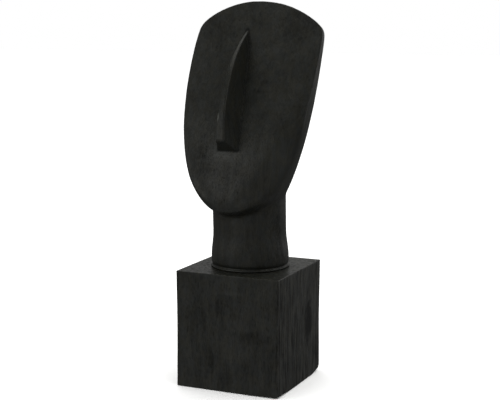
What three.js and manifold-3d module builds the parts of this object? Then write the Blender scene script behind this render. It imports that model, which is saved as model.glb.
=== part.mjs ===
// A simplified wooden head on a round neck and a square block, all stained black.
// Millimetres, +Z up. The origin is the centre of the block's underside, and the face looks along -Y.
import * as THREE from "three";
import { mergeVertices } from "three/addons/utils/BufferGeometryUtils.js";
import Module from "manifold-3d";

// ---- driving dimensions, mm and degrees ----

// square block
const BLOCK_SIDE = 130;
const BLOCK_HEIGHT = 138.7;
const BLOCK_EASE = 1.2; // eased edges

// round neck, which stands on the block with a hair of room
const SEAT_GAP = 0.3;
const NECK_CENTRE_Y = -0.4;
const NECK_TOP_X = -0.4; // it leans a hair to one side
const NECK_FOOT_X = 0.9;
const NECK_RADIUS = 43.4;
const NECK_FOOT_RADIUS = 46.0; // it widens a little towards its foot
const NECK_FLARE_TOP = 182; // where the widening starts
const COLLAR_RADIUS = 46.8; // thin collar under the neck
const COLLAR_HEIGHT = 2.6;
const COLLAR_EASE = 0.7;
const GROOVE_RADIUS = 43.4; // the neck draws in above the collar
const GROOVE_HEIGHT = 4.2;
const NECK_TOP = 248; // the column's end, buried in the head

// face plane: its lowest point and how far it leans back
const CHIN_Y = -63.3;
const CHIN_Z = 211.4;
const LEAN = 22.5;

// outline of the face, from the chin (v = 0) to the crown
const FACE_HEIGHT = 258.5;
const OUTLINE_SHIFT = -5.7; // the chin and crown against the neck's middle
// each side: half width, height of the widest point, fullness of the jaw, how fast it
// draws in above the widest point (1/mm), crown radius, and tightness of the top corner
const LEFT = { half: 74.2, widest: 167.1, jaw: 2.12, draw: 0.00107, crown: 96.9, corner: 22 };
const RIGHT = { half: 88.4, widest: 222, jaw: 2.34, draw: 0, crown: 131.1, corner: 26 };

// thickness: a straight rim round the face, wider towards the chin, then a rounded back
const RIM_UPPER = 6.8;
const RIM_CHIN = 14;
const RIM_WIDENS_V = 120;
const BACK_Y_LOW = 37.7; // the back's centre line, from low to high
const BACK_Y_MID = 53.3;
const BACK_Y_TOP = 46.8;
const BACK_MID_V = 149.5;

// the lower half of the face swells forward
const SWELL = 11;
const SWELL_FULL_V = 65;
const SWELL_END_V = 208;

// nose: a long wedge with a narrow flat ridge
const NOSE_TOP_V = 221;
const NOSE_FOOT_V = 74.5; // at the ridge
const NOSE_UNDERCUT = 5.6; // the foot comes lower where it meets the face
const NOSE_TOP_U = -12.4;
const NOSE_FOOT_U = -7.2;
const NOSE_HEIGHT = 39.9; // above the outline's plane
const NOSE_HIGHEST = 0.78; // share of the way down where it stands highest
const NOSE_RISE_POWER = 2.4;
const NOSE_FOOT_DROP = 6;
const NOSE_RIDGE_TOP = 1.6; // half widths
const NOSE_RIDGE_FOOT = 4.7;
const NOSE_BASE_TOP = 5.4;
const NOSE_BASE_FOOT = 12.8;

// facets
const HEAD_LEVELS = 44;
const FRONT_STEPS = 14;
const BACK_STEPS = 18;
const NOSE_LEVELS = 18;
const NECK_SIDES = 72;

// ---- outline and surfaces of the head, in the plane of the face ----
// u runs across the face, v up it, and d into the head.

const lean = THREE.MathUtils.degToRad(LEAN);
const upFace = new THREE.Vector3(0, Math.sin(lean), Math.cos(lean));
const intoHead = new THREE.Vector3(0, Math.cos(lean), -Math.sin(lean));
const chin = new THREE.Vector3(0, CHIN_Y, CHIN_Z);

function place(u, v, d) {
  return chin.clone().addScaledVector(upFace, v).addScaledVector(intoHead, d).add(new THREE.Vector3(u, 0, 0));
}

function halfWidth(v, s) {
  const low = Math.max(0, 1 - v / s.widest);
  const above = Math.max(0, v - s.widest);
  const side = s.half * Math.pow(Math.max(0, 1 - Math.pow(low, s.jaw)), 1 / s.jaw) - s.draw * above * above;
  const rise = Math.max(0, v - (FACE_HEIGHT - s.crown));
  const crown = Math.sqrt(Math.max(1e-6, s.crown * s.crown - rise * rise));
  if (side < 1e-6) return 0;
  return Math.pow(Math.pow(side, -s.corner) + Math.pow(crown, -s.corner), -1 / s.corner);
}

// width of the straight rim
function rimAt(v) {
  return RIM_UPPER + (RIM_CHIN - RIM_UPPER) * Math.max(0, 1 - v / RIM_WIDENS_V);
}

// share of the way from the middle of the face to its outline
function reach(u, v) {
  const side = u < OUTLINE_SHIFT ? LEFT : RIGHT;
  const full = halfWidth(v, side);
  const across = full > 0 ? Math.min(1, Math.abs(u - OUTLINE_SHIFT) / full) : 1;
  const down = Math.max(0, 1 - v / LEFT.widest);
  return Math.min(1, Math.pow(Math.pow(across, 3) + Math.pow(down, 3), 1 / 3));
}

function faceDepth(u, v) {
  const lower = THREE.MathUtils.smoothstep(SWELL_END_V - v, 0, SWELL_END_V - SWELL_FULL_V);
  return -SWELL * lower * (1 - Math.pow(reach(u, v), 4));
}

// depth of the back's centre line behind the face plane
function backDepth(v) {
  const y = v < BACK_MID_V
    ? BACK_Y_LOW + (BACK_Y_MID - BACK_Y_LOW) * Math.sin((0.5 * Math.PI * v) / BACK_MID_V)
    : BACK_Y_MID - (BACK_Y_MID - BACK_Y_TOP) * Math.pow((v - BACK_MID_V) / (FACE_HEIGHT - BACK_MID_V), 2);
  return Math.max(RIM_UPPER + 0.5, (y - CHIN_Y - v * Math.sin(lean)) / Math.cos(lean));
}

// ---- helpers ----

// a closed body from rings of the same number of points, flat ends included
function loft(rings) {
  const count = rings[0].length;
  const position = [];
  const index = [];
  for (const ring of rings) for (const p of ring) position.push(p.x, p.y, p.z);
  for (let i = 0; i + 1 < rings.length; i++) {
    for (let j = 0; j < count; j++) {
      const a = i * count + j;
      const b = i * count + ((j + 1) % count);
      index.push(a, b, b + count, a, b + count, a + count);
    }
  }
  for (const last of [false, true]) {
    const ring = last ? rings[rings.length - 1] : rings[0];
    const base = last ? (rings.length - 1) * count : 0;
    const middle = position.length / 3;
    const c = ring.reduce((sum, p) => sum.add(p), new THREE.Vector3()).divideScalar(count);
    position.push(c.x, c.y, c.z);
    for (let j = 0; j < count; j++) {
      const a = base + j;
      const b = base + ((j + 1) % count);
      if (last) index.push(a, b, middle);
      else index.push(b, a, middle);
    }
  }
  const geometry = new THREE.BufferGeometry();
  geometry.setAttribute("position", new THREE.Float32BufferAttribute(position, 3));
  geometry.setIndex(index);
  return geometry;
}

const wasm = await Module();
wasm.setup();

function solid(geometry) {
  const bare = geometry.clone();
  bare.deleteAttribute("normal");
  bare.deleteAttribute("uv");
  const merged = mergeVertices(bare, 1e-4);
  const source = merged.index.array;
  const triangles = [];
  for (let i = 0; i < source.length; i += 3) {
    const [a, b, c] = [source[i], source[i + 1], source[i + 2]];
    if (a !== b && b !== c && c !== a) triangles.push(a, b, c);
  }
  return new wasm.Manifold(new wasm.Mesh({
    numProp: 3,
    vertProperties: new Float32Array(merged.attributes.position.array),
    triVerts: new Uint32Array(triangles),
  }));
}

function asGeometry(body) {
  const mesh = body.getMesh();
  const geometry = new THREE.BufferGeometry();
  geometry.setAttribute("position", new THREE.Float32BufferAttribute(mesh.vertProperties, 3));
  geometry.setIndex(Array.from(mesh.triVerts));
  geometry.computeVertexNormals();
  return geometry;
}

// ---- head ----

function headRing(v) {
  const left = halfWidth(v, LEFT);
  const right = halfWidth(v, RIGHT);
  const rim = rimAt(v);
  const deep = backDepth(v) - rim;
  const ring = [];
  // across the face, from its left edge to its right
  for (let i = 0; i <= FRONT_STEPS; i++) {
    const t = Math.sin(Math.PI * (i / FRONT_STEPS - 0.5));
    const u = OUTLINE_SHIFT + (t < 0 ? t * left : t * right);
    ring.push(place(u, v, i === 0 || i === FRONT_STEPS ? 0 : faceDepth(u, v)));
  }
  // round the back, from the right rim to the left
  for (let i = 0; i <= BACK_STEPS; i++) {
    const a = (Math.PI * i) / BACK_STEPS;
    const u = OUTLINE_SHIFT + (Math.cos(a) > 0 ? right : left) * Math.cos(a);
    ring.push(place(u, v, rim + deep * Math.sin(a)));
  }
  return ring;
}

const headRings = [];
for (let i = 0; i <= HEAD_LEVELS; i++) {
  const t = (1 - Math.cos((Math.PI * (0.02 + 0.96 * (i / HEAD_LEVELS))))) / 2;
  headRings.push(headRing(THREE.MathUtils.clamp(FACE_HEIGHT * t, 0.25, FACE_HEIGHT - 0.25)));
}
headRings[0] = headRing(0.25);
headRings[HEAD_LEVELS] = headRing(FACE_HEIGHT - 0.25);
const head = loft(headRings);

// ---- nose ----

function noseRing(s) {
  const rise = s < NOSE_HIGHEST
    ? NOSE_HEIGHT * (1 - Math.pow(1 - s / NOSE_HIGHEST, NOSE_RISE_POWER))
    : NOSE_HEIGHT - NOSE_FOOT_DROP * Math.pow((s - NOSE_HIGHEST) / (1 - NOSE_HIGHEST), 1.5);
  const v = THREE.MathUtils.lerp(NOSE_TOP_V, NOSE_FOOT_V, s);
  const low = s === 1 ? v - NOSE_UNDERCUT : v;
  const u = THREE.MathUtils.lerp(NOSE_TOP_U, NOSE_FOOT_U, s);
  const ridge = THREE.MathUtils.lerp(NOSE_RIDGE_TOP, NOSE_RIDGE_FOOT, s);
  // the base opens quickly below the top and slowly after it
  const open = Math.min(1, Math.sqrt(s / 0.2));
  const base = Math.max(ridge, open * THREE.MathUtils.lerp(NOSE_BASE_TOP, NOSE_BASE_FOOT, Math.max(0, (s - 0.2) / 0.8)));
  const root = faceDepth(u, v);
  const height = Math.max(0.15, rise + root);
  const buried = 6;
  // the flanks run on into the head at their own slope
  const wide = base + ((base - ridge) * buried) / Math.max(height, 12);
  return [
    place(u - wide, low, root + buried),
    place(u - ridge, v, root - height),
    place(u + ridge, v, root - height),
    place(u + wide, low, root + buried),
  ];
}

const noseRings = [];
for (let i = NOSE_LEVELS; i >= 0; i--) noseRings.push(noseRing(i / NOSE_LEVELS));
const nose = loft(noseRings);

// ---- neck ----

const neckBottom = BLOCK_HEIGHT + SEAT_GAP;
const collarTop = BLOCK_HEIGHT + COLLAR_HEIGHT;
const neckProfile = [
  new THREE.Vector2(0, neckBottom),
  new THREE.Vector2(COLLAR_RADIUS, neckBottom),
  new THREE.Vector2(COLLAR_RADIUS, collarTop - COLLAR_EASE),
  new THREE.Vector2(COLLAR_RADIUS - COLLAR_EASE, collarTop),
  new THREE.Vector2(GROOVE_RADIUS + 1.2, collarTop + 0.2),
  new THREE.Vector2(GROOVE_RADIUS, collarTop + 1.0),
];
for (let i = 1; i <= 3; i++) {
  const a = (0.5 * Math.PI * i) / 3;
  neckProfile.push(new THREE.Vector2(
    GROOVE_RADIUS + (NECK_FOOT_RADIUS - GROOVE_RADIUS) * Math.sin(a),
    collarTop + 1.0 + GROOVE_HEIGHT * (1 - Math.cos(a)),
  ));
}
for (let i = 0; i <= 5; i++) {
  const z = THREE.MathUtils.lerp(collarTop + GROOVE_HEIGHT + 4, NECK_FLARE_TOP, i / 5);
  const t = 1 - i / 5;
  neckProfile.push(new THREE.Vector2(NECK_RADIUS + (NECK_FOOT_RADIUS - NECK_RADIUS) * t * t * (3 - 2 * t), z));
}
neckProfile.push(new THREE.Vector2(NECK_RADIUS, NECK_TOP), new THREE.Vector2(0, NECK_TOP));
const neck = new THREE.LatheGeometry(neckProfile, NECK_SIDES);
neck.rotateX(Math.PI / 2);
const neckPoints = neck.attributes.position;
for (let i = 0; i < neckPoints.count; i++) {
  const t = THREE.MathUtils.clamp((neckPoints.getZ(i) - neckBottom) / (CHIN_Z - neckBottom), 0, 1);
  neckPoints.setX(i, neckPoints.getX(i) + THREE.MathUtils.lerp(NECK_FOOT_X, NECK_TOP_X, t));
  neckPoints.setY(i, neckPoints.getY(i) + NECK_CENTRE_Y);
}

// ---- block ----

const half = BLOCK_SIDE / 2 - BLOCK_EASE;
const square = new THREE.Shape();
square.moveTo(-half, -half);
square.lineTo(half, -half);
square.lineTo(half, half);
square.lineTo(-half, half);
square.closePath();
const block = new THREE.ExtrudeGeometry(square, {
  depth: BLOCK_HEIGHT - 2 * BLOCK_EASE,
  steps: 1,
  bevelEnabled: true,
  bevelThickness: BLOCK_EASE,
  bevelSize: BLOCK_EASE,
  bevelSegments: 2,
});
block.translate(0, 0, BLOCK_EASE);

// ---- the object ----

const bodies = [solid(head), solid(nose), solid(neck)];
const headAndNeck = bodies.reduce((sum, body) => sum.add(body));

const blackWood = new THREE.MeshStandardMaterial({ color: 0x24231f, roughness: 0.55, metalness: 0 });
const blackWoodBlock = new THREE.MeshStandardMaterial({ color: 0x272622, roughness: 0.6, metalness: 0 });

const upper = new THREE.Mesh(asGeometry(headAndNeck), blackWood);
upper.name = "head_and_neck";
const plinth = new THREE.Mesh(asGeometry(solid(block)), blackWoodBlock);
plinth.name = "plinth_block";

const group = new THREE.Group();
group.add(upper, plinth);
export default group;
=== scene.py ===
"""Black wooden face sculpture: the fine surfaces, materials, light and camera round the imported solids.

Lengths in the shape functions are millimetres in the row frame (origin at the centre of the block's
underside, +Z up, the face looks along -Y). Meshes are made in metres.
"""

import math

import bpy
import numpy as np
from mathutils import Matrix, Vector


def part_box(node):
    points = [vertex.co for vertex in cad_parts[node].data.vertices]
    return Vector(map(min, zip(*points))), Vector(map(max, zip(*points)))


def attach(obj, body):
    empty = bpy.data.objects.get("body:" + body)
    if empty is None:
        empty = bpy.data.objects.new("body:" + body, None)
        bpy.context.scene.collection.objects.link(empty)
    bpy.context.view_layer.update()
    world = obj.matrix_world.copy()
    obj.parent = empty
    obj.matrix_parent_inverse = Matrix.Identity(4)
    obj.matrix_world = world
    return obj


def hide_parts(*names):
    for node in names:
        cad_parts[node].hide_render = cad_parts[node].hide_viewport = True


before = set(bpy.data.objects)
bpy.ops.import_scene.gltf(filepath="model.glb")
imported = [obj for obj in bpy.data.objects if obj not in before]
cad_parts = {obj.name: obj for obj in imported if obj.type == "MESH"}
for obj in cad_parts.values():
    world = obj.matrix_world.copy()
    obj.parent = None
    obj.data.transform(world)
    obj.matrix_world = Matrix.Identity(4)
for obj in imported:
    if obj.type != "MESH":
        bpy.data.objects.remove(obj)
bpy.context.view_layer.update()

# ---------------------------------------------------------------- sizes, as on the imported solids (mm, deg)
BLOCK_SIDE = 130.0
BLOCK_HEIGHT = 138.7
SEAT_GAP = 0.3

NECK_CENTRE_Y = -0.4
NECK_TOP_X = -0.4
NECK_FOOT_X = 0.9
NECK_RADIUS = 43.4
NECK_FOOT_RADIUS = 46.0
NECK_FLARE_TOP = 182.0
COLLAR_RADIUS = 46.8
COLLAR_HEIGHT = 2.6
GROOVE_RADIUS = 43.4
GROOVE_HEIGHT = 4.2
NECK_TOP = 248.0

CHIN_Y = -63.3
CHIN_Z = 211.4
LEAN = math.radians(22.5)
FACE_HEIGHT = 258.5
OUTLINE_SHIFT = -5.7
LEFT = dict(half=74.2, widest=167.1, jaw=2.12, draw=0.00107, crown=96.9, corner=22.0)
RIGHT = dict(half=88.4, widest=222.0, jaw=2.34, draw=0.0, crown=131.1, corner=26.0)
RIM_UPPER = 6.8
RIM_CHIN = 14.0
RIM_WIDENS_V = 120.0
BACK_Y_LOW = 37.7
BACK_Y_MID = 53.3
BACK_Y_TOP = 46.8
BACK_MID_V = 149.5
SWELL = 11.0
SWELL_FULL_V = 65.0
SWELL_END_V = 208.0

NOSE_TOP_V = 221.0
NOSE_FOOT_V = 74.5
NOSE_UNDERCUT = 5.6
NOSE_TOP_U = -12.4
NOSE_FOOT_U = -7.2
NOSE_HEIGHT = 39.9
NOSE_HIGHEST = 0.78
NOSE_RISE_POWER = 2.4
NOSE_FOOT_DROP = 6.0
NOSE_RIDGE_TOP = 1.6
NOSE_RIDGE_FOOT = 4.7
NOSE_BASE_TOP = 5.4
NOSE_BASE_FOOT = 12.8

CELL = 1.35  # mesh pitch of the carved piece


# ---------------------------------------------------------------- small helpers
def smooth(x, a, b):
    t = np.clip((np.asarray(x, float) - a) / (b - a), 0.0, 1.0)
    return t * t * (3.0 - 2.0 * t)


def lerp(a, b, t):
    return a + (b - a) * t


def round_max(a, b, r):
    """Intersection of two solids' distances with an edge of radius r."""
    return np.minimum(-r, np.maximum(a, b)) + np.hypot(np.maximum(a + r, 0.0), np.maximum(b + r, 0.0))


def soft_max(a, b, r, p=2.7):
    """Like round_max, but its curve starts gently, without a visible line."""
    return np.minimum(-r, np.maximum(a, b)) + (np.maximum(a + r, 0.0) ** p + np.maximum(b + r, 0.0) ** p) ** (1.0 / p)


def round_min(a, b, r):
    """Union of two solids' distances with a fillet of radius r."""
    return np.maximum(r, np.minimum(a, b)) - np.hypot(np.maximum(r - a, 0.0), np.maximum(r - b, 0.0))


class Noise:
    """Smooth value noise on a repeating lattice, in -1..1."""

    def __init__(self, seed, n=32):
        self.n = n
        self.grid = np.random.default_rng(seed).uniform(-1.0, 1.0, (n, n, n))

    def __call__(self, x, y, z):
        out = 0.0
        xi, yi, zi = np.floor(x).astype(int), np.floor(y).astype(int), np.floor(z).astype(int)
        fx, fy, fz = x - xi, y - yi, z - zi
        fx, fy, fz = (f * f * f * (f * (f * 6 - 15) + 10) for f in (fx, fy, fz))
        n = self.n
        for a in (0, 1):
            for b in (0, 1):
                for c in (0, 1):
                    w = (fx if a else 1 - fx) * (fy if b else 1 - fy) * (fz if c else 1 - fz)
                    out = out + w * self.grid[(xi + a) % n, (yi + b) % n, (zi + c) % n]
        return out


# ---------------------------------------------------------------- the head in its own plane
def half_width(v, s):
    low = np.maximum(0.0, 1.0 - v / s["widest"])
    above = np.maximum(0.0, v - s["widest"])
    side = s["half"] * np.maximum(0.0, 1.0 - low ** s["jaw"]) ** (1.0 / s["jaw"]) - s["draw"] * above**2
    rise = np.maximum(0.0, v - (FACE_HEIGHT - s["crown"]))
    crown = np.sqrt(np.maximum(1e-6, s["crown"] ** 2 - rise**2))
    side = np.maximum(side, 1e-3)
    return (side ** -s["corner"] + crown ** -s["corner"]) ** (-1.0 / s["corner"])


def square_width(v, s):
    """Half width squared, carried on below zero past the chin and the crown so that it stays smooth there."""
    low = np.maximum(0.0, 1.0 - v / s["widest"])
    above = np.maximum(0.0, v - s["widest"])
    z = 1.0 - low ** s["jaw"]
    side = s["half"] * np.sign(z) * np.abs(z) ** (1.0 / s["jaw"]) - s["draw"] * above**2
    rise = np.maximum(0.0, v - (FACE_HEIGHT - s["crown"]))
    crown = s["crown"] ** 2 - rise**2
    ok = side > 0.05
    safe = np.where(ok, side, 1.0)
    ratio = np.sqrt(np.maximum(crown, 0.0)) / safe
    both = crown * (1.0 + np.minimum(ratio, 1e6) ** s["corner"]) ** (-2.0 / s["corner"])
    return np.where(ok, both, np.sign(side) * side**2)


def rim_at(v):
    return RIM_UPPER + (RIM_CHIN - RIM_UPPER) * np.maximum(0.0, 1.0 - v / RIM_WIDENS_V)


def back_depth(v):
    low = BACK_Y_LOW + (BACK_Y_MID - BACK_Y_LOW) * np.sin(0.5 * np.pi * np.clip(v / BACK_MID_V, -0.2, 1.0))
    high = BACK_Y_MID - (BACK_Y_MID - BACK_Y_TOP) * (np.maximum(0.0, v - BACK_MID_V) / (FACE_HEIGHT - BACK_MID_V)) ** 2
    y = np.where(v < BACK_MID_V, low, high)
    return np.maximum(rim_at(v) + 0.5, (y - CHIN_Y - v * math.sin(LEAN)) / math.cos(LEAN))


def raw_face_depth(u, v):
    left = half_width(v, LEFT)
    right = half_width(v, RIGHT)
    across = np.minimum(1.0, np.abs(u - OUTLINE_SHIFT) / np.maximum(1.0, np.where(u < OUTLINE_SHIFT, left, right)))
    down = np.clip(1.0 - v / LEFT["widest"], 0.0, 1.3)
    reach = np.minimum(1.0, (across**3 + down**3) ** (1.0 / 3.0))
    return -SWELL * smooth(SWELL_END_V - v, 0.0, SWELL_END_V - SWELL_FULL_V) * (1.0 - reach**4)


class Sheet:
    """A function of (u, v) kept on a fine grid, softened by a blur, read back with its slope."""

    def __init__(self, f, u0, u1, v0, v1, step, blur):
        self.u0, self.v0, self.step = u0, v0, step
        u = np.arange(u0, u1 + step, step)
        v = np.arange(v0, v1 + step, step)
        g = f(*np.meshgrid(u, v, indexing="ij"))
        if blur:
            k = int(3 * blur / step)
            w = np.exp(-0.5 * (np.arange(-k, k + 1) * step / blur) ** 2)
            w /= w.sum()
            g = np.apply_along_axis(lambda a: np.convolve(np.pad(a, k, "edge"), w, "valid"), 0, g)
            g = np.apply_along_axis(lambda a: np.convolve(np.pad(a, k, "edge"), w, "valid"), 1, g)
        gu, gv = np.gradient(g, step)
        self.g, self.s = g, np.sqrt(1.0 + gu**2 + gv**2)

    def _read(self, a, u, v):
        x = np.clip((u - self.u0) / self.step, 0, a.shape[0] - 1.001)
        y = np.clip((v - self.v0) / self.step, 0, a.shape[1] - 1.001)
        i, j = x.astype(int), y.astype(int)
        fx, fy = x - i, y - j
        return (a[i, j] * (1 - fx) + a[i + 1, j] * fx) * (1 - fy) + (a[i, j + 1] * (1 - fx) + a[i + 1, j + 1] * fx) * fy

    def at(self, u, v):
        return self._read(self.g, u, v)

    def stretch(self, u, v):
        return self._read(self.s, u, v)


face_sheet = Sheet(raw_face_depth, -110.0, 110.0, -20.0, 280.0, 0.5, 3.2)


def to_face(x, y, z):
    """(u, v, d): along the face's width, up its slope, and in from its plane."""
    ya, za = y - CHIN_Y, z - CHIN_Z
    return x, ya * math.sin(LEAN) + za * math.cos(LEAN), ya * math.cos(LEAN) - za * math.sin(LEAN)


def bowl_value(u, v, d):
    """Rim and back of the head: below zero inside. Not yet a distance."""
    side = u - OUTLINE_SHIFT
    t = smooth(side, -12.0, 12.0)
    w = square_width(v, LEFT) * (1 - t) + square_width(v, RIGHT) * t
    rim = rim_at(v)
    q = np.maximum(0.0, d - rim) / (back_depth(v) - rim)
    return side**2 - w * (1.0 - q**2)


def bowl_distance(u, v, d):
    e = 0.25
    f = bowl_value(u, v, d)
    gu = (bowl_value(u + e, v, d) - bowl_value(u - e, v, d)) / (2 * e)
    gv = (bowl_value(u, v + e, d) - bowl_value(u, v - e, d)) / (2 * e)
    gd = (bowl_value(u, v, d + e) - bowl_value(u, v, d - e)) / (2 * e)
    g = np.sqrt(gu**2 + gv**2 + gd**2) + 1e-6
    dist = np.clip(f / g, -25.0, 25.0)
    beyond = np.maximum(d - back_depth(v), np.maximum(v - FACE_HEIGHT, -v))
    return np.maximum(dist, beyond * 0.7)


def edge_radius(u, v):
    """The face's edge: crisp on the right and the crown, softer on the left, rounding off round the jaw."""
    right = smooth(u, -34.0, 40.0)
    upper = lerp(1.8, 1.2, right)
    jaw = lerp(2.4, 32.0, right)
    jaw = lerp(jaw, 11.0, smooth(-v, -42.0, -6.0))
    return lerp(upper, jaw, smooth(-v, -126.0, -58.0))


def nose_distance(u, v, d):
    s = (NOSE_TOP_V - v) / (NOSE_TOP_V - NOSE_FOOT_V)
    sc = np.clip(s, 0.0, 1.0)
    rise = np.where(
        sc < NOSE_HIGHEST,
        NOSE_HEIGHT * (1.0 - np.maximum(0.0, 1.0 - sc / NOSE_HIGHEST) ** NOSE_RISE_POWER),
        NOSE_HEIGHT - NOSE_FOOT_DROP * (np.maximum(0.0, sc - NOSE_HIGHEST) / (1 - NOSE_HIGHEST)) ** 1.5,
    )
    rise = np.where(s < 0, 60.0 * s, rise)
    centre = lerp(NOSE_TOP_U, NOSE_FOOT_U, sc)
    ridge = lerp(NOSE_RIDGE_TOP, NOSE_RIDGE_FOOT, sc)
    opened = np.minimum(1.0, np.sqrt(sc / 0.2))
    base = np.maximum(ridge, opened * lerp(NOSE_BASE_TOP, NOSE_BASE_FOOT, np.maximum(0.0, (sc - 0.2) / 0.8)))
    root = face_sheet.at(centre, v)
    height = np.maximum(3.0, rise + root)
    slope = (base - ridge) / height
    wide = ridge + slope * np.clip(d + rise, -5.0, height + 8.0)
    side = (np.abs(u - centre) - wide) / np.sqrt(1.0 + slope**2)
    e = 0.01
    s2 = np.clip(s + e, 0, 1)
    rise2 = np.where(
        s2 < NOSE_HIGHEST,
        NOSE_HEIGHT * (1.0 - np.maximum(0.0, 1.0 - s2 / NOSE_HIGHEST) ** NOSE_RISE_POWER),
        NOSE_HEIGHT - NOSE_FOOT_DROP * (np.maximum(0.0, s2 - NOSE_HIGHEST) / (1 - NOSE_HIGHEST)) ** 1.5,
    )
    climb = (rise2 - rise) / (e * (NOSE_TOP_V - NOSE_FOOT_V))
    climb = np.where(s < 0, 0.4, climb)
    top = (-rise - d) / np.sqrt(1.0 + climb**2)
    # the foot is cut off square to the ridge, a little undercut towards the face
    root_foot = face_sheet.at(NOSE_FOOT_U, np.full_like(v, NOSE_FOOT_V))
    tip = NOSE_HEIGHT - NOSE_FOOT_DROP
    lean = NOSE_UNDERCUT / (tip + root_foot + 6.0)
    foot = (NOSE_FOOT_V - lean * np.maximum(0.0, d + tip) - v) / np.sqrt(1.0 + lean**2)
    body = round_max(side, top, lerp(0.6, 0.9, sc))
    body = round_max(body, foot, 0.7)
    return np.maximum(body, d - 10.0)


def head_distance(x, y, z):
    u, v, d = to_face(x, y, z)
    front = (face_sheet.at(u, v) - d) / face_sheet.stretch(u, v)
    bowl = bowl_distance(u, v, d)
    body = soft_max(front, bowl, edge_radius(u, v))
    return round_min(body, nose_distance(u, v, d), 0.35)


# ---------------------------------------------------------------- the neck, turned
def neck_profile():
    z0 = BLOCK_HEIGHT + SEAT_GAP
    top = BLOCK_HEIGHT + COLLAR_HEIGHT
    ease = 1.0
    batter = 0.3  # the collar's wall leans in a little
    edge = [
        (COLLAR_RADIUS - batter - ease + ease * math.cos(a), top - ease + ease * math.sin(a))
        for a in np.linspace(0.0, 0.5 * math.pi, 6)
    ]
    arc = [
        (GROOVE_RADIUS + 2.6 * math.sin(a), top + 1.0 + GROOVE_HEIGHT * (1 - math.cos(a)))
        for a in np.linspace(0.0, 0.5 * math.pi, 12)
    ]
    flare = []
    for t in np.linspace(1.0, 0.0, 20):
        z = lerp(NECK_FLARE_TOP, arc[-1][1] + 3.0, t)
        flare.append((NECK_RADIUS + (NECK_FOOT_RADIUS - NECK_RADIUS) * t * t * (3 - 2 * t), z))
    return (
        [(-20.0, z0), (COLLAR_RADIUS, z0)]
        + edge
        + [(GROOVE_RADIUS + 0.8, top + 0.15), (GROOVE_RADIUS, top + 1.0)]
        + arc
        + flare
        + [(NECK_RADIUS, NECK_TOP), (-20.0, NECK_TOP)]
    )


class Profile:
    """Signed distance of a closed outline in (r, z), kept on a fine grid."""

    def __init__(self, points, r1, z0, z1, step):
        self.z0, self.step = z0, step
        r = np.arange(0.0, r1 + step, step)
        z = np.arange(z0, z1 + step, step)
        R, Z = np.meshgrid(r, z, indexing="ij")
        best = np.full(R.shape, 1e9)
        inside = np.zeros(R.shape, bool)
        n = len(points)
        for i in range(n):
            (ax, az), (bx, bz) = points[i], points[(i + 1) % n]
            dx, dz = bx - ax, bz - az
            long = dx * dx + dz * dz
            if long < 1e-12:
                continue
            t = np.clip(((R - ax) * dx + (Z - az) * dz) / long, 0, 1)
            if not (ax < 0 and bx < 0):
                best = np.minimum(best, np.hypot(R - ax - t * dx, Z - az - t * dz))
            cross = (az > Z) != (bz > Z)
            with np.errstate(divide="ignore", invalid="ignore"):
                at = ax + (Z - az) * dx / (dz if dz else 1e-12)
            inside ^= cross & (R < at)
        self.g = np.where(inside, -best, best)

    def at(self, r, z):
        x = np.clip(r / self.step, 0, self.g.shape[0] - 1.001)
        y = np.clip((z - self.z0) / self.step, 0, self.g.shape[1] - 1.001)
        i, j = x.astype(int), y.astype(int)
        fx, fy = x - i, y - j
        return (self.g[i, j] * (1 - fx) + self.g[i + 1, j] * fx) * (1 - fy) + (
            self.g[i, j + 1] * (1 - fx) + self.g[i + 1, j + 1] * fx
        ) * fy


neck_sheet = Profile(neck_profile(), 110.0, 120.0, 300.0, 0.25)


def neck_distance(x, y, z):
    t = np.clip((z - BLOCK_HEIGHT - SEAT_GAP) / (CHIN_Z - BLOCK_HEIGHT - SEAT_GAP), 0.0, 1.0)
    r = np.hypot(x - lerp(NECK_FOOT_X, NECK_TOP_X, t), y - NECK_CENTRE_Y)
    return neck_sheet.at(r, z)


def carved_distance(x, y, z):
    head = head_distance(x, y, z)
    neck = neck_distance(x, y, z)
    # crisp at the jaw, softer under the chin, and flowing together at the back
    fillet = 1.5 + 3.2 * smooth(-y, 18.0, 36.0) + 9.0 * smooth(y, 24.0, 42.0)
    return round_min(head, neck, fillet)


# ---------------------------------------------------------------- from distance to mesh
def band_field(f, low, high, h, reach):
    """f on a grid of pitch h, worked out only near the surface. Elsewhere only its sign holds."""
    n = [int(math.ceil((b - a) / (4 * h))) * 4 + 1 for a, b in zip(low, high)]
    axes = [a + h * np.arange(k) for a, k in zip(low, n)]
    coarse = [ax[::4] for ax in axes]
    C = f(*np.meshgrid(*coarse, indexing="ij"))
    near = np.abs(C) < reach
    cells = np.zeros([k - 1 for k in C.shape], bool)
    for a in (0, 1):
        for b in (0, 1):
            for c in (0, 1):
                cells |= near[a : a + cells.shape[0], b : b + cells.shape[1], c : c + cells.shape[2]]
    F = np.repeat(np.repeat(np.repeat(C, 4, 0), 4, 1), 4, 2)[: n[0], : n[1], : n[2]].copy()
    want = np.zeros(n, bool)
    block = np.repeat(np.repeat(np.repeat(cells, 4, 0), 4, 1), 4, 2)
    want[: block.shape[0], : block.shape[1], : block.shape[2]] |= block
    for axis in range(3):  # the far faces of each wanted cell
        grown = want.copy()
        src = [slice(None)] * 3
        dst = [slice(None)] * 3
        src[axis], dst[axis] = slice(0, -1), slice(1, None)
        grown[tuple(dst)] |= want[tuple(src)]
        want = grown
    i, j, k = np.nonzero(want)
    out = np.empty(len(i))
    for a in range(0, len(i), 400000):
        s = slice(a, a + 400000)
        out[s] = f(axes[0][i[s]], axes[1][j[s]], axes[2][k[s]])
    F[i, j, k] = out
    return F, axes


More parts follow.
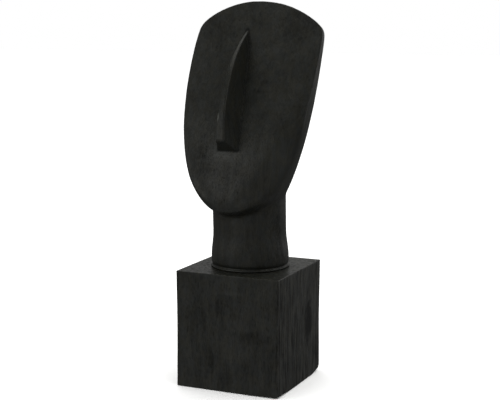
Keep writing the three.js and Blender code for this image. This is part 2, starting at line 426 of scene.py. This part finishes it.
def surface_net(F, axes, h):
    """One vertex for each cell that the surface passes through, and a quad across each crossed edge."""
    inside = F < 0
    nx, ny, nz = F.shape
    count = np.zeros((nx - 1, ny - 1, nz - 1), np.int8)
    for a in (0, 1):
        for b in (0, 1):
            for c in (0, 1):
                count += inside[a : nx - 1 + a, b : ny - 1 + b, c : nz - 1 + c]
    ci, cj, ck = np.nonzero((count > 0) & (count < 8))
    index = np.full(count.shape, -1, np.int64)
    index[ci, cj, ck] = np.arange(len(ci))
    corner = {}
    for a in (0, 1):
        for b in (0, 1):
            for c in (0, 1):
                corner[a, b, c] = F[ci + a, cj + b, ck + c]
    total = np.zeros((len(ci), 3))
    number = np.zeros(len(ci))
    for p in corner:
        for axis in range(3):
            if p[axis]:
                continue
            q = list(p)
            q[axis] = 1
            fa, fb = corner[p], corner[tuple(q)]
            hit = (fa < 0) != (fb < 0)
            t = np.where(hit, fa / np.where(hit, fa - fb, 1.0), 0.0)
            at = np.tile(np.array(p, float), (len(ci), 1))
            at[:, axis] = t
            total += at * hit[:, None]
            number += hit
    verts = (np.stack([ci, cj, ck], 1) + total / number[:, None]) * h + np.array([a[0] for a in axes])
    quads = []
    for axis in range(3):
        b, c = (axis + 1) % 3, (axis + 2) % 3
        lo = [slice(0, -1) if k == axis else slice(1, -1) for k in range(3)]
        hi = [slice(1, None) if k == axis else slice(1, -1) for k in range(3)]
        here, there = inside[tuple(lo)], inside[tuple(hi)]
        for starts_in in (True, False):
            m = (here & ~there) if starts_in else (~here & there)
            g = np.stack(np.nonzero(m), 1)
            g[:, b] += 1
            g[:, c] += 1
            ring = []
            for db, dc in ((0, 0), (1, 0), (1, 1), (0, 1)):
                w = g.copy()
                w[:, b] -= db
                w[:, c] -= dc
                ring.append(index[w[:, 0], w[:, 1], w[:, 2]])
            q = np.stack(ring if starts_in else ring[::-1], 1)
            quads.append(q)
    return verts, np.concatenate(quads)


def slope_of(f, p, e=0.12):
    x, y, z = p.T
    g = np.stack(
        [f(x + e, y, z) - f(x - e, y, z), f(x, y + e, z) - f(x, y - e, z), f(x, y, z + e) - f(x, y, z - e)], 1
    ) / (2 * e)
    size = np.linalg.norm(g, axis=1, keepdims=True)
    return g / np.maximum(size, 1e-6), np.maximum(size[:, 0], 0.3)


def settle(f, p, quads, rounds, limit):
    """Draws the vertices onto the surface and spreads them evenly over it."""
    pairs = np.concatenate([quads[:, [0, 1]], quads[:, [1, 2]], quads[:, [2, 3]], quads[:, [3, 0]]])
    pairs = np.concatenate([pairs, pairs[:, ::-1]])
    number = np.bincount(pairs[:, 0], minlength=len(p)).astype(float)
    for i in range(rounds):
        n, size = slope_of(f, p)
        v = f(*p.T)
        p = p - n * np.clip(v / size, -limit, limit)[:, None]
        if i < rounds - 2:
            mean = np.stack([np.bincount(pairs[:, 0], p[pairs[:, 1], k], minlength=len(p)) for k in range(3)], 1)
            move = mean / number[:, None] - p
            move -= n * np.sum(move * n, 1, keepdims=True)
            p = p + 0.5 * move
    return p, n


def mesh_object(name, verts_mm, quads, material):
    me = bpy.data.meshes.new(name)
    me.from_pydata([], [], [])
    me.vertices.add(len(verts_mm))
    me.vertices.foreach_set("co", (np.asarray(verts_mm) / 1000.0).astype(np.float32).ravel())
    me.loops.add(quads.size)
    me.loops.foreach_set("vertex_index", quads.astype(np.int32).ravel())
    me.polygons.add(len(quads))
    me.polygons.foreach_set("loop_start", (np.arange(len(quads)) * 4).astype(np.int32))
    me.polygons.foreach_set("use_smooth", np.ones(len(quads), bool))
    me.update(calc_edges=True)
    me.validate()
    me.materials.append(material)
    o = bpy.data.objects.new(name, me)
    bpy.context.scene.collection.objects.link(o)
    return o


# ---------------------------------------------------------------- carved piece
broad = Noise(11)
middle = Noise(12)
grain = Noise(13)


def carved_mesh():
    low = (-86.0, -112.0, BLOCK_HEIGHT - 3.0)
    high = (90.0, 68.0, 456.0)
    F, axes = band_field(carved_distance, low, high, CELL, 9.0)
    p, quads = surface_net(F, axes, CELL)
    p, n = settle(carved_distance, p, quads, 6, 1.5)
    x, y, z = p.T
    # hand-worked unevenness, longer up the grain than across it
    wave = 0.24 * broad(x / 30, y / 30, z / 62) + 0.10 * middle(x / 11, y / 11, z / 34)
    line = 0.045 * grain(x / 2.6, y / 2.6, z / 42)
    keep = smooth(z, BLOCK_HEIGHT + 4.0, BLOCK_HEIGHT + 16.0)
    p = p + n * (wave * keep + line * lerp(0.3, 1.0, keep))[:, None]
    low, high = (np.array(c) * 1000.0 for c in (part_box("head_and_neck")))
    # how near each vertex lies to the line where the nose meets the face, for the painted shade in that corner
    u, v, d = to_face(x, y, z)
    corner = np.maximum(np.abs(nose_distance(u, v, d)), np.abs(face_sheet.at(u, v) - d) / face_sheet.stretch(u, v))
    crease_shade = 1.0 - smooth(corner, 0.5, 2.0)
    return np.clip(p, low, high), quads, crease_shade


# ---------------------------------------------------------------- block
def block_mesh():
    """A box of grids, its rows closer together near the edges; shape_block eases its edges, draws it in a little at mid
    height and wears its foot.
    """
    half, height = BLOCK_SIDE / 2, BLOCK_HEIGHT
    ease = 0.8
    band = ease * np.array([0.0, 0.33, 0.67])

    def spread(a, b, count):
        inner = np.linspace(a + ease, b - ease, count)
        return np.concatenate([a + band, inner, b - band[::-1]])

    across = spread(-half, half, 140)
    up = spread(0.0, height, 62)
    verts, index, quads = [], {}, []

    def key(i, j, k):
        if (i, j, k) not in index:
            index[i, j, k] = len(verts)
            verts.append((across[i], across[j], up[k]))
        return index[i, j, k]

    na, nu = len(across) - 1, len(up) - 1
    for i in range(na):
        for k in range(nu):
            quads.append([key(i, 0, k), key(i + 1, 0, k), key(i + 1, 0, k + 1), key(i, 0, k + 1)])
            quads.append([key(i + 1, na, k), key(i, na, k), key(i, na, k + 1), key(i + 1, na, k + 1)])
            quads.append([key(0, i + 1, k), key(0, i, k), key(0, i, k + 1), key(0, i + 1, k + 1)])
            quads.append([key(na, i, k), key(na, i + 1, k), key(na, i + 1, k + 1), key(na, i, k + 1)])
    for i in range(na):
        for j in range(na):
            quads.append([key(i, j, nu), key(i + 1, j, nu), key(i + 1, j + 1, nu), key(i, j + 1, nu)])
            quads.append([key(i, j + 1, 0), key(i + 1, j + 1, 0), key(i + 1, j, 0), key(i, j, 0)])
    return np.array(verts), np.array(quads)


def shape_block(p):
    half, height, ease = BLOCK_SIDE / 2, BLOCK_HEIGHT, 0.8
    x, y, z = p.T
    # a worn radius at the foot, at the two corners on the right
    worn = np.zeros_like(x)
    for cx, cy, much, reach in ((half, -half, 4.2, 26.0), (half, half, 5.0, 14.0)):
        worn = np.maximum(worn, much * np.exp(-(((x - cx) / reach) ** 2 + ((y - cy) / reach) ** 2)))
    low = smooth(-z, -9.0, 0.0)
    r = ease + low * worn
    mid = np.stack([np.zeros_like(x), np.zeros_like(y), np.full_like(z, height / 2)], 1)
    q = p - mid
    box = np.array([half, half, height / 2])
    inner = box - r[:, None]
    core = np.clip(q, -inner, inner)
    away = q - core
    size = np.linalg.norm(away, axis=1, keepdims=True)
    on = size[:, 0] > 1e-9
    n = np.zeros_like(q)
    n[on] = away[on] / size[on]
    out = core + n * r[:, None]
    x, y, z = p.T
    up = z / height
    # waist, hand-planed unevenness and grain on the four sides
    sides = np.abs(n[:, 2]) < 0.9
    waist = 0.55 * np.sin(np.pi * np.clip(up, 0, 1)) ** 2
    uneven = 0.14 * (broad(x / 34 + 7, y / 34, z / 60) - 0.5) + 0.06 * (middle(x / 9, y / 9 + 5, z / 30) - 0.5)
    line = 0.05 * (grain(x / 2.2 + 3, y / 2.2, z / 36) - 0.5)
    fade = smooth(z, 2.0, 14.0) * smooth(height - z, 1.0, 8.0)
    move = np.where(sides, -waist + (uneven + line) * lerp(0.35, 1.0, fade), 0.0)
    top = n[:, 2] > 0.9
    move = np.where(top, 0.05 * (grain(x / 3 + 9, y / 3, z * 0) - 1), move)
    flat = np.where(n[:, 2:3] ** 2 < 0.81, [[1.0, 1.0, 0.0]], [[0.0, 0.0, 1.0]])
    push = n * flat
    p = out + mid + push * move[:, None]
    low, high = (np.array(c) * 1000.0 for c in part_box("plinth_block"))
    return np.clip(p, low, high)


# ---------------------------------------------------------------- materials
class Graph:
    """Short names for making and joining shader nodes."""

    def __init__(self, name):
        self.mat = bpy.data.materials.new(name)
        self.mat.use_nodes = True
        self.nt = self.mat.node_tree
        self.nt.nodes.clear()

    def add(self, kind, **sets):
        n = self.nt.nodes.new(kind)
        for k, v in sets.items():
            setattr(n, k, v)
        return n

    def put(self, socket, value):
        if isinstance(value, bpy.types.NodeSocket):
            self.nt.links.new(value, socket)
        else:
            socket.default_value = value

    def math(self, op, a, b=0.0, c=0.0, clamp=False):
        n = self.add("ShaderNodeMath", operation=op, use_clamp=clamp)
        for s, v in zip(n.inputs, (a, b, c)):
            self.put(s, v)
        return n.outputs[0]

    def vec(self, op, a, b=(0.0, 0.0, 0.0)):
        n = self.add("ShaderNodeVectorMath", operation=op)
        self.put(n.inputs[0], a)
        self.put(n.inputs[1], b)
        return n.outputs["Value"] if op in ("LENGTH", "DOT_PRODUCT", "DISTANCE") else n.outputs["Vector"]

    def noise(self, at, scale=1.0, detail=2.0, rough=0.5, warp=0.0, colour=False):
        n = self.add("ShaderNodeTexNoise", noise_dimensions="3D")
        self.put(n.inputs["Vector"], at)
        n.inputs["Scale"].default_value = scale
        n.inputs["Detail"].default_value = detail
        n.inputs["Roughness"].default_value = rough
        n.inputs["Distortion"].default_value = warp
        return n.outputs["Color" if colour else "Fac"]

    def band(self, x, a, b, lo=0.0, hi=1.0):
        n = self.add("ShaderNodeMapRange", interpolation_type="SMOOTHSTEP")
        for s, v in zip(n.inputs, (x, a, b, lo, hi)):
            self.put(s, v)
        return n.outputs[0]

    def mix(self, t, a, b):
        n = self.add("ShaderNodeMix", data_type="RGBA")
        self.put(n.inputs[0], t)
        self.put(n.inputs[6], a)
        self.put(n.inputs[7], b)
        return n.outputs[2]


def wood(name, pith, pitch, knots, dark, light, rough, bump_mm, seed, depth, rings, stain_and_painted_light_marks, coarse=None, end_at=None):
    """Black-stained wood: growth rings round an upright pith, fibres and pores along it, uneven stain, and painted
    light and shade in some listed patches and in the corner along the nose.
    """
    g = Graph(name)
    place = g.add("ShaderNodeTexCoord").outputs["Object"]
    mm = g.vec("MULTIPLY", place, (1000.0, 1000.0, 1000.0))
    mm = g.vec("ADD", mm, (seed * 37.0, 0.0, seed * 11.0))
    slow = g.vec("MULTIPLY", mm, (1 / 42.0, 1 / 42.0, 1 / 150.0))
    wander = g.vec("MULTIPLY", g.vec("SUBTRACT", g.noise(slow, 1.0, 3.0, 0.55, colour=True), (0.5, 0.5, 0.5)), (26.0, 26.0, 0.0))
    flow = g.vec("ADD", mm, wander)
    for kx, ky, kz, size, push in knots:
        # the grain parts round a knot and closes again above and below it
        off = g.vec("SUBTRACT", place, (kx / 1000.0, ky / 1000.0, kz / 1000.0))
        off = g.vec("MULTIPLY", off, (1000.0 / size, 1000.0 / size, 1000.0 / (size * 2.4)))
        far = g.vec("LENGTH", off)
        pull = g.math("MULTIPLY", g.math("POWER", 2.718, g.math("MULTIPLY", g.math("MULTIPLY", far, far), -1.0)), -push)
        scale = g.add("ShaderNodeVectorMath", operation="SCALE")
        g.put(scale.inputs[0], g.vec("MULTIPLY", off, (1.0, 1.0, 0.0)))
        g.put(scale.inputs["Scale"], pull)
        flow = g.vec("ADD", flow, scale.outputs[0])
    across = g.vec("MULTIPLY", g.vec("SUBTRACT", flow, (pith[0] + seed * 37.0, pith[1], 0.0)), (1.0, 1.0, 0.0))
    radius = g.vec("LENGTH", across)
    phase = g.math("DIVIDE", radius, pitch)
    ring = g.math("FRACT", phase)
    late = g.math("MULTIPLY", g.band(ring, 0.45, 0.92), g.band(ring, 1.0, 0.95))
    # every ring has its own tone
    tone = g.noise(g.vec("MULTIPLY", across, (0.31 / pitch, 0.31 / pitch, 0.0)), 1.0, 2.0, 0.6)
    fibre = g.noise(g.vec("MULTIPLY", flow, (1 / 0.9, 1 / 0.9, 1 / 26.0)), 1.0, 4.0, 0.6)
    pore = g.noise(g.vec("MULTIPLY", flow, (1 / 0.75, 1 / 0.75, 1 / 8.0)), 1.0, 1.0, 0.5)
    pore = g.band(pore, 0.60, 0.72)
    fleck = g.noise(g.vec("MULTIPLY", flow, (1 / 2.6, 1 / 2.6, 1 / 10.0)), 1.0, 2.0, 0.5)
    fleck = g.band(fleck, 0.57, 0.70)
    speck = g.noise(g.vec("MULTIPLY", mm, (1 / 3.6, 1 / 3.6, 1 / 5.0)), 1.0, 2.0, 0.6)
    streak = g.noise(g.vec("MULTIPLY", flow, (1 / 6.0, 1 / 6.0, 1 / 60.0)), 1.0, 3.0, 0.55)
    blotch = g.noise(g.vec("MULTIPLY", mm, (1 / 24.0, 1 / 24.0, 1 / 34.0)), 1.0, 4.0, 0.62)

    value = g.math("MULTIPLY", g.math("SUBTRACT", blotch, 0.5), 1.5)
    line = g.math("SUBTRACT", streak, 0.5)
    line = g.math("ADD", line, g.math("MULTIPLY", g.math("SUBTRACT", tone, 0.5), rings * 3.0))
    line = g.math("SUBTRACT", line, g.math("MULTIPLY", late, rings))
    value = g.math("ADD", value, line)
    value = g.math("ADD", value, g.math("MULTIPLY", g.math("SUBTRACT", fibre, 0.5), 0.9))
    value = g.math("ADD", value, g.math("MULTIPLY", g.math("SUBTRACT", speck, 0.5), 0.8))
    value = g.math("SUBTRACT", value, g.math("MULTIPLY", pore, 0.3))
    value = g.math("SUBTRACT", value, g.math("MULTIPLY", fleck, 0.34))
    value = g.math("MULTIPLY", value, depth)
    rough_side = 0.0
    if coarse:
        # one side is coarser: its rings and streaks show more
        spot = g.add("ShaderNodeSeparateXYZ")
        g.put(spot.inputs[0], place)
        rough_side = g.band(spot.outputs["X"], coarse[0] / 1000.0, coarse[1] / 1000.0)
        thin = g.noise(g.vec("MULTIPLY", flow, (1 / 4.4, 1 / 4.4, 1 / 30.0)), 1.0, 3.0, 0.6)
        line = g.math("ADD", g.math("MULTIPLY", line, coarse[2]), g.math("MULTIPLY", g.math("SUBTRACT", thin, 0.5), coarse[3]))
        value = g.math("ADD", value, g.math("MULTIPLY", line, rough_side))
    if end_at:
        # end grain: open pores as dots, and a lighter tone on the top face
        level = g.add("ShaderNodeSeparateXYZ")
        g.put(level.inputs[0], place)
        end = g.band(level.outputs["Z"], (end_at - 0.6) / 1000.0, (end_at - 0.2) / 1000.0)
        dots = g.noise(g.vec("MULTIPLY", mm, (1 / 3.4, 1 / 3.4, 1 / 3.4)), 1.0, 3.0, 0.65)
        dots = g.math("ADD", g.math("MULTIPLY", g.math("SUBTRACT", dots, 0.5), 3.4), 0.25)
        value = g.math("ADD", value, g.math("MULTIPLY", dots, end))
    strong = g.math("ADD", g.math("MULTIPLY", rough_side, 1.3), 1.0)
    for kx, ky, kz, size, push in knots:
        off = g.vec("SUBTRACT", place, (kx / 1000.0, ky / 1000.0, kz / 1000.0))
        off = g.vec("MULTIPLY", off, (1000.0 / (size * 0.5), 1000.0 / (size * 0.5), 1000.0 / (size * 1.15)))
        core = g.math("ADD", g.vec("LENGTH", off), g.math("MULTIPLY", g.math("SUBTRACT", fibre, 0.5), 1.6))
        value = g.math("SUBTRACT", value, g.math("MULTIPLY", g.band(core, 1.35, 0.35), 0.72))
    # marks with ragged edges: some are patches where the stain lies darker or lighter, others are painted highlights,
    # painted light and painted shade
    ragged = g.math("MULTIPLY", g.math("SUBTRACT", speck, 0.5), 0.9)
    for (mx, my, mz), (sx, sy, sz), amount in stain_and_painted_light_marks:
        off = g.vec("SUBTRACT", place, (mx / 1000.0, my / 1000.0, mz / 1000.0))
        off = g.vec("MULTIPLY", off, (1000.0 / sx, 1000.0 / sy, 1000.0 / sz))
        far = g.math("ADD", g.vec("LENGTH", off), ragged)
        value = g.math("ADD", value, g.math("MULTIPLY", g.band(far, 1.3, 0.3), amount))
    # painted shade: the sharp inner corner where the nose meets the face is made darker, rougher and less shiny
    value = g.math("SUBTRACT", value, g.math("MULTIPLY", g.add("ShaderNodeAttribute", attribute_name="crease_shade").outputs["Fac"], 0.5))
    # the upper limit of 6 leaves room for the painted glint on the nose's edge
    value = g.math("MINIMUM", g.math("MAXIMUM", g.math("ADD", value, 0.57), -0.1), 6.0)
    # the stain runs from a warm black to a cool one
    hue = g.noise(g.vec("MULTIPLY", mm, (1 / 7.0, 1 / 7.0, 1 / 12.0)), 1.0, 2.0, 0.5)
    tint = g.mix(g.band(hue, 0.38, 0.62), (1.05, 1.03, 0.84, 1.0), (0.93, 1.0, 0.99, 1.0))
    scale = g.add("ShaderNodeVectorMath", operation="SCALE")
    g.put(scale.inputs[0], tuple(b - a for a, b in zip(dark, light)))
    g.put(scale.inputs["Scale"], value)
    colour = g.vec("MULTIPLY", g.vec("ADD", scale.outputs[0], dark), tint)

    height = g.math("MULTIPLY", fibre, 0.55)
    height = g.math("SUBTRACT", height, g.math("MULTIPLY", pore, 0.8))
    height = g.math("ADD", height, g.math("MULTIPLY", g.math("MULTIPLY", late, strong), 0.35))
    height = g.math("ADD", height, g.math("MULTIPLY", g.math("MULTIPLY", streak, strong), 0.7))
    bump = g.add("ShaderNodeBump")
    bump.inputs["Strength"].default_value = 1.0
    bump.inputs["Distance"].default_value = bump_mm / 1000.0
    g.put(bump.inputs["Height"], height)

    # open, dark grain is matter than the close, lighter wood
    gloss = g.band(value, 1.1, -0.1, rough[0], rough[1])
    shine = g.band(value, -0.3, 1.5, 0.16, 0.84)
    bsdf = g.add("ShaderNodeBsdfPrincipled")
    g.put(bsdf.inputs["Base Color"], colour)
    g.put(bsdf.inputs["Roughness"], gloss)
    g.put(bsdf.inputs["Specular IOR Level"], shine)
    g.put(bsdf.inputs["Normal"], bump.outputs[0])
    bsdf.inputs["IOR"].default_value = 1.45
    out = g.add("ShaderNodeOutputMaterial")
    g.put(out.inputs["Surface"], bsdf.outputs[0])
    return g.mat


carved_wood = wood(
    "carved_wood",
    (14.0, 420.0),
    9.0,
    [],
    (0.0085, 0.0088, 0.0078),
    (0.038, 0.0385, 0.034),
    (0.34, 0.46),
    0.16,
    1,
    0.42,
    0.10,
    [
        # painted highlight: a lighter patch on the face under the nose
        ((-9.0, -47.0, 277.0), (17.0, 14.0, 10.0), 0.30),
        # painted highlight: a bright glint on the nose's left edge, also made shinier by the shader
        ((-11.8, -60.5, 317.0), (1.3, 2.0, 7.0), 4.0),
        ((22.0, -9.0, 357.0), (6.0, 7.0, 4.5), -0.26),
        ((19.0, -13.0, 346.5), (13.0, 7.0, 3.5), -0.20),
        ((-41.0, -40.0, 275.0), (10.0, 16.0, 18.0), -0.18),
        ((-33.0, -48.0, 258.0), (14.0, 14.0, 9.0), -0.16),
        # painted highlight: a lighter band along the collar's top edge at the front
        ((0.0, -47.0, 141.4), (24.0, 9.0, 2.6), 0.55),
        # painted light: the right jaw is lightened
        ((53.0, -36.0, 262.0), (22.0, 26.0, 32.0), 0.22),
        # painted shade: the neck's right edge is darkened
        ((47.0, -6.0, 182.0), (10.0, 26.0, 48.0), -0.28),
        # painted shade: the head's two upper corners are darkened
        ((52.0, 22.0, 424.0), (34.0, 14.0, 30.0), -0.12),
        ((-46.0, 20.0, 418.0), (30.0, 14.0, 28.0), -0.12),
    ],
)
block_wood = wood(
    "block_wood",
    (30.0, 190.0),
    12.0,
    [(65.0, 29.0, 70.0, 20.0, 12.0)],
    (0.0085, 0.0088, 0.0078),
    (0.038, 0.0385, 0.034),
    (0.32, 0.46),
    0.20,
    2,
    0.5,
    0.16,
    [
        ((28.0, -65.0, 68.0), (26.0, 10.0, 9.0), -0.25),
        ((-30.0, -65.0, 84.0), (5.0, 10.0, 16.0), -0.25),
        ((-12.0, -65.0, 100.0), (3.0, 10.0, 14.0), -0.30),
        ((-20.0, -65.0, 34.0), (5.0, 10.0, 15.0), -0.28),
        ((6.0, -65.0, 118.0), (16.0, 10.0, 3.0), 0.20),
        ((65.0, 48.0, 88.0), (10.0, 5.0, 30.0), 0.45),
    ],
    (60.0, 64.0, 0.8, 2.4),
    BLOCK_HEIGHT,
)

# ---------------------------------------------------------------- pieces
verts, quads, crease_shade = carved_mesh()
carved = mesh_object("carved_head_and_neck", verts, quads, carved_wood)
# mask for the painted shade in the corner along the nose
carved.data.attributes.new("crease_shade", "FLOAT", "POINT").data.foreach_set("value", crease_shade.astype(np.float32))
verts, quads = block_mesh()
block = mesh_object("grained_block", shape_block(verts), quads, block_wood)
print("carved quads", len(carved.data.polygons), "block quads", len(block.data.polygons))

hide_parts("head_and_neck")
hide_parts("plinth_block")
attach(carved, "root")
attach(block, "root")

# ---------------------------------------------------------------- floor, light, camera
f = Graph("pale_floor")
at = f.add("ShaderNodeTexCoord").outputs["Object"]
shade = f.noise(f.vec("MULTIPLY", at, (3.0, 3.0, 3.0)), 1.0, 3.0)
paint = f.add("ShaderNodeBsdfPrincipled")
f.put(paint.inputs["Base Color"], f.mix(shade, (0.86, 0.86, 0.86, 1), (0.90, 0.90, 0.90, 1)))
paint.inputs["Roughness"].default_value = 0.9
paint.inputs["IOR"].default_value = 1.2
f.put(f.add("ShaderNodeOutputMaterial").inputs["Surface"], paint.outputs[0])

bpy.ops.mesh.primitive_plane_add(size=24.0, location=(0, 0, -0.0004))
floor = bpy.context.object
floor.name = "floor"
floor.data.materials.append(f.mat)
floor.visible_glossy = False
floor.visible_diffuse = False

world = bpy.data.worlds.new("studio")
bpy.context.scene.world = world
world.use_nodes = True
nt = world.node_tree
nt.nodes.clear()
path = nt.nodes.new("ShaderNodeLightPath")
seen = nt.nodes.new("ShaderNodeBackground")
seen.inputs["Color"].default_value = (1, 1, 1, 1)
seen.inputs["Strength"].default_value = 1.0
# soft room light, a little brighter near the horizon
way = nt.nodes.new("ShaderNodeTexCoord")
part = nt.nodes.new("ShaderNodeSeparateXYZ")
nt.links.new(way.outputs["Generated"], part.inputs[0])


def ramp(source, stops):
    """A value that runs through (position, value) stops along the source."""
    low, high = stops[0][0], stops[-1][0]
    fit = nt.nodes.new("ShaderNodeMapRange")
    fit.inputs[1].default_value, fit.inputs[2].default_value = low, high
    nt.links.new(source, fit.inputs[0])
    node = nt.nodes.new("ShaderNodeValToRGB")
    node.color_ramp.interpolation = "EASE"
    while len(node.color_ramp.elements) < len(stops):
        node.color_ramp.elements.new(0.5)
    for e, (at_, level) in zip(node.color_ramp.elements, stops):
        e.position = (at_ - low) / (high - low)
        e.color = (level, level, level, 1.0)
    nt.links.new(fit.outputs[0], node.inputs[0])
    return node.outputs["Color"]


# the room in front of the object, and the wall and floor behind it
ahead = ramp(part.outputs["Z"], [(-0.45, 0.25), (-0.15, 0.37), (0.35, 0.17), (1.0, 0.15)])
across_ = ramp(part.outputs["X"], [(-0.95, 0.4), (-0.5, 1.0), (0.25, 1.0), (0.75, 0.75)])
front_room = nt.nodes.new("ShaderNodeVectorMath")
front_room.operation = "MULTIPLY"
nt.links.new(ahead, front_room.inputs[0])
nt.links.new(across_, front_room.inputs[1])
behind = ramp(part.outputs["Z"], [(-0.30, 0.09), (-0.12, 0.12), (0.0, 0.50), (0.12, 0.52), (0.5, 0.25)])
turn_ = nt.nodes.new("ShaderNodeMapRange")
turn_.interpolation_type = "SMOOTHSTEP"
for s_, v_ in zip(turn_.inputs[1:5], (-0.1, 0.5, 0.0, 1.0)):
    s_.default_value = v_
nt.links.new(part.outputs["Y"], turn_.inputs[0])
room = nt.nodes.new("ShaderNodeMix")
room.data_type = "RGBA"
nt.links.new(turn_.outputs[0], room.inputs[0])
nt.links.new(front_room.outputs[0], room.inputs[6])
lean_ = ramp(part.outputs["X"], [(-0.1, 0.6), (0.45, 1.45), (0.9, 0.7)])
aside = nt.nodes.new("ShaderNodeVectorMath")
aside.operation = "MULTIPLY"
nt.links.new(behind, aside.inputs[0])
nt.links.new(lean_, aside.inputs[1])
nt.links.new(aside.outputs[0], room.inputs[7])
lit = nt.nodes.new("ShaderNodeBackground")
nt.links.new(room.outputs[2], lit.inputs["Color"])
lit.inputs["Strength"].default_value = 1.0
both = nt.nodes.new("ShaderNodeMixShader")
nt.links.new(path.outputs["Is Camera Ray"], both.inputs[0])
nt.links.new(lit.outputs[0], both.inputs[1])
nt.links.new(seen.outputs[0], both.inputs[2])
nt.links.new(both.outputs[0], nt.nodes.new("ShaderNodeOutputWorld").inputs["Surface"])


def softbox(name, at, to, size, power):
    data = bpy.data.lights.new(name, "AREA")
    data.shape = "RECTANGLE"
    data.size, data.size_y = size
    data.energy = power
    o = bpy.data.objects.new(name, data)
    bpy.context.scene.collection.objects.link(o)
    o.location = at
    way = np.array(to, float) - np.array(at, float)
    way /= np.linalg.norm(way)
    back = -way
    side = np.cross((0, 0, 1.0), back)
    side = side / np.linalg.norm(side) if np.linalg.norm(side) > 1e-3 else np.array([1.0, 0, 0])
    up = np.cross(back, side)
    data.color = (1.0, 1.0, 0.95)
    o.rotation_euler = Matrix([[side[i], up[i], back[i]] for i in range(3)]).to_euler()
    return o


softbox("overhead", (0.0, 0.9, 2.6), (0, 0, 0.1), (3.0, 3.0), 28.0)
softbox("front", (-1.5, -2.6, 1.5), (0, 0, 0.25), (2.4, 2.0), 11.0)
softbox("front_left", (-2.9, -1.4, 0.9), (0, 0, 0.25), (1.8, 1.8), 4.0)
softbox("right", (2.6, -0.6, 2.1), (0, 0, 0.25), (2.0, 2.0), 8.5)
sun = bpy.data.lights.new("floor_wash", "SUN")
sun.energy = 3.6
sun.angle = math.radians(120.0)
lamp = bpy.data.objects.new("floor_wash", sun)
bpy.context.scene.collection.objects.link(lamp)
only = bpy.data.collections.new("lit_floor")
only.objects.link(floor)
lamp.light_linking.receiver_collection = only

cam_data = bpy.data.cameras.new("camera")
cam_data.sensor_width = 36.0
cam_data.sensor_fit = "HORIZONTAL"
cam_data.lens = 84.45
cam_data.clip_start = 0.05
cam = bpy.data.objects.new("camera", cam_data)
bpy.context.scene.collection.objects.link(cam)
az, el = math.radians(24.52), math.radians(8.83)
right = (math.cos(az), math.sin(az), 0.0)
back = (math.sin(az) * math.cos(el), -math.cos(az) * math.cos(el), math.sin(el))
up = (-math.sin(az) * math.sin(el), math.cos(az) * math.sin(el), math.cos(el))
turn = Matrix([[right[i], up[i], back[i]] for i in range(3)])
cam.matrix_world = Matrix.Translation((0.56980, -1.24855, 0.43026)) @ turn.to_4x4()
bpy.context.scene.camera = cam
bpy.context.scene.view_settings.view_transform = "Standard"
bpy.context.scene.view_settings.look = "None"
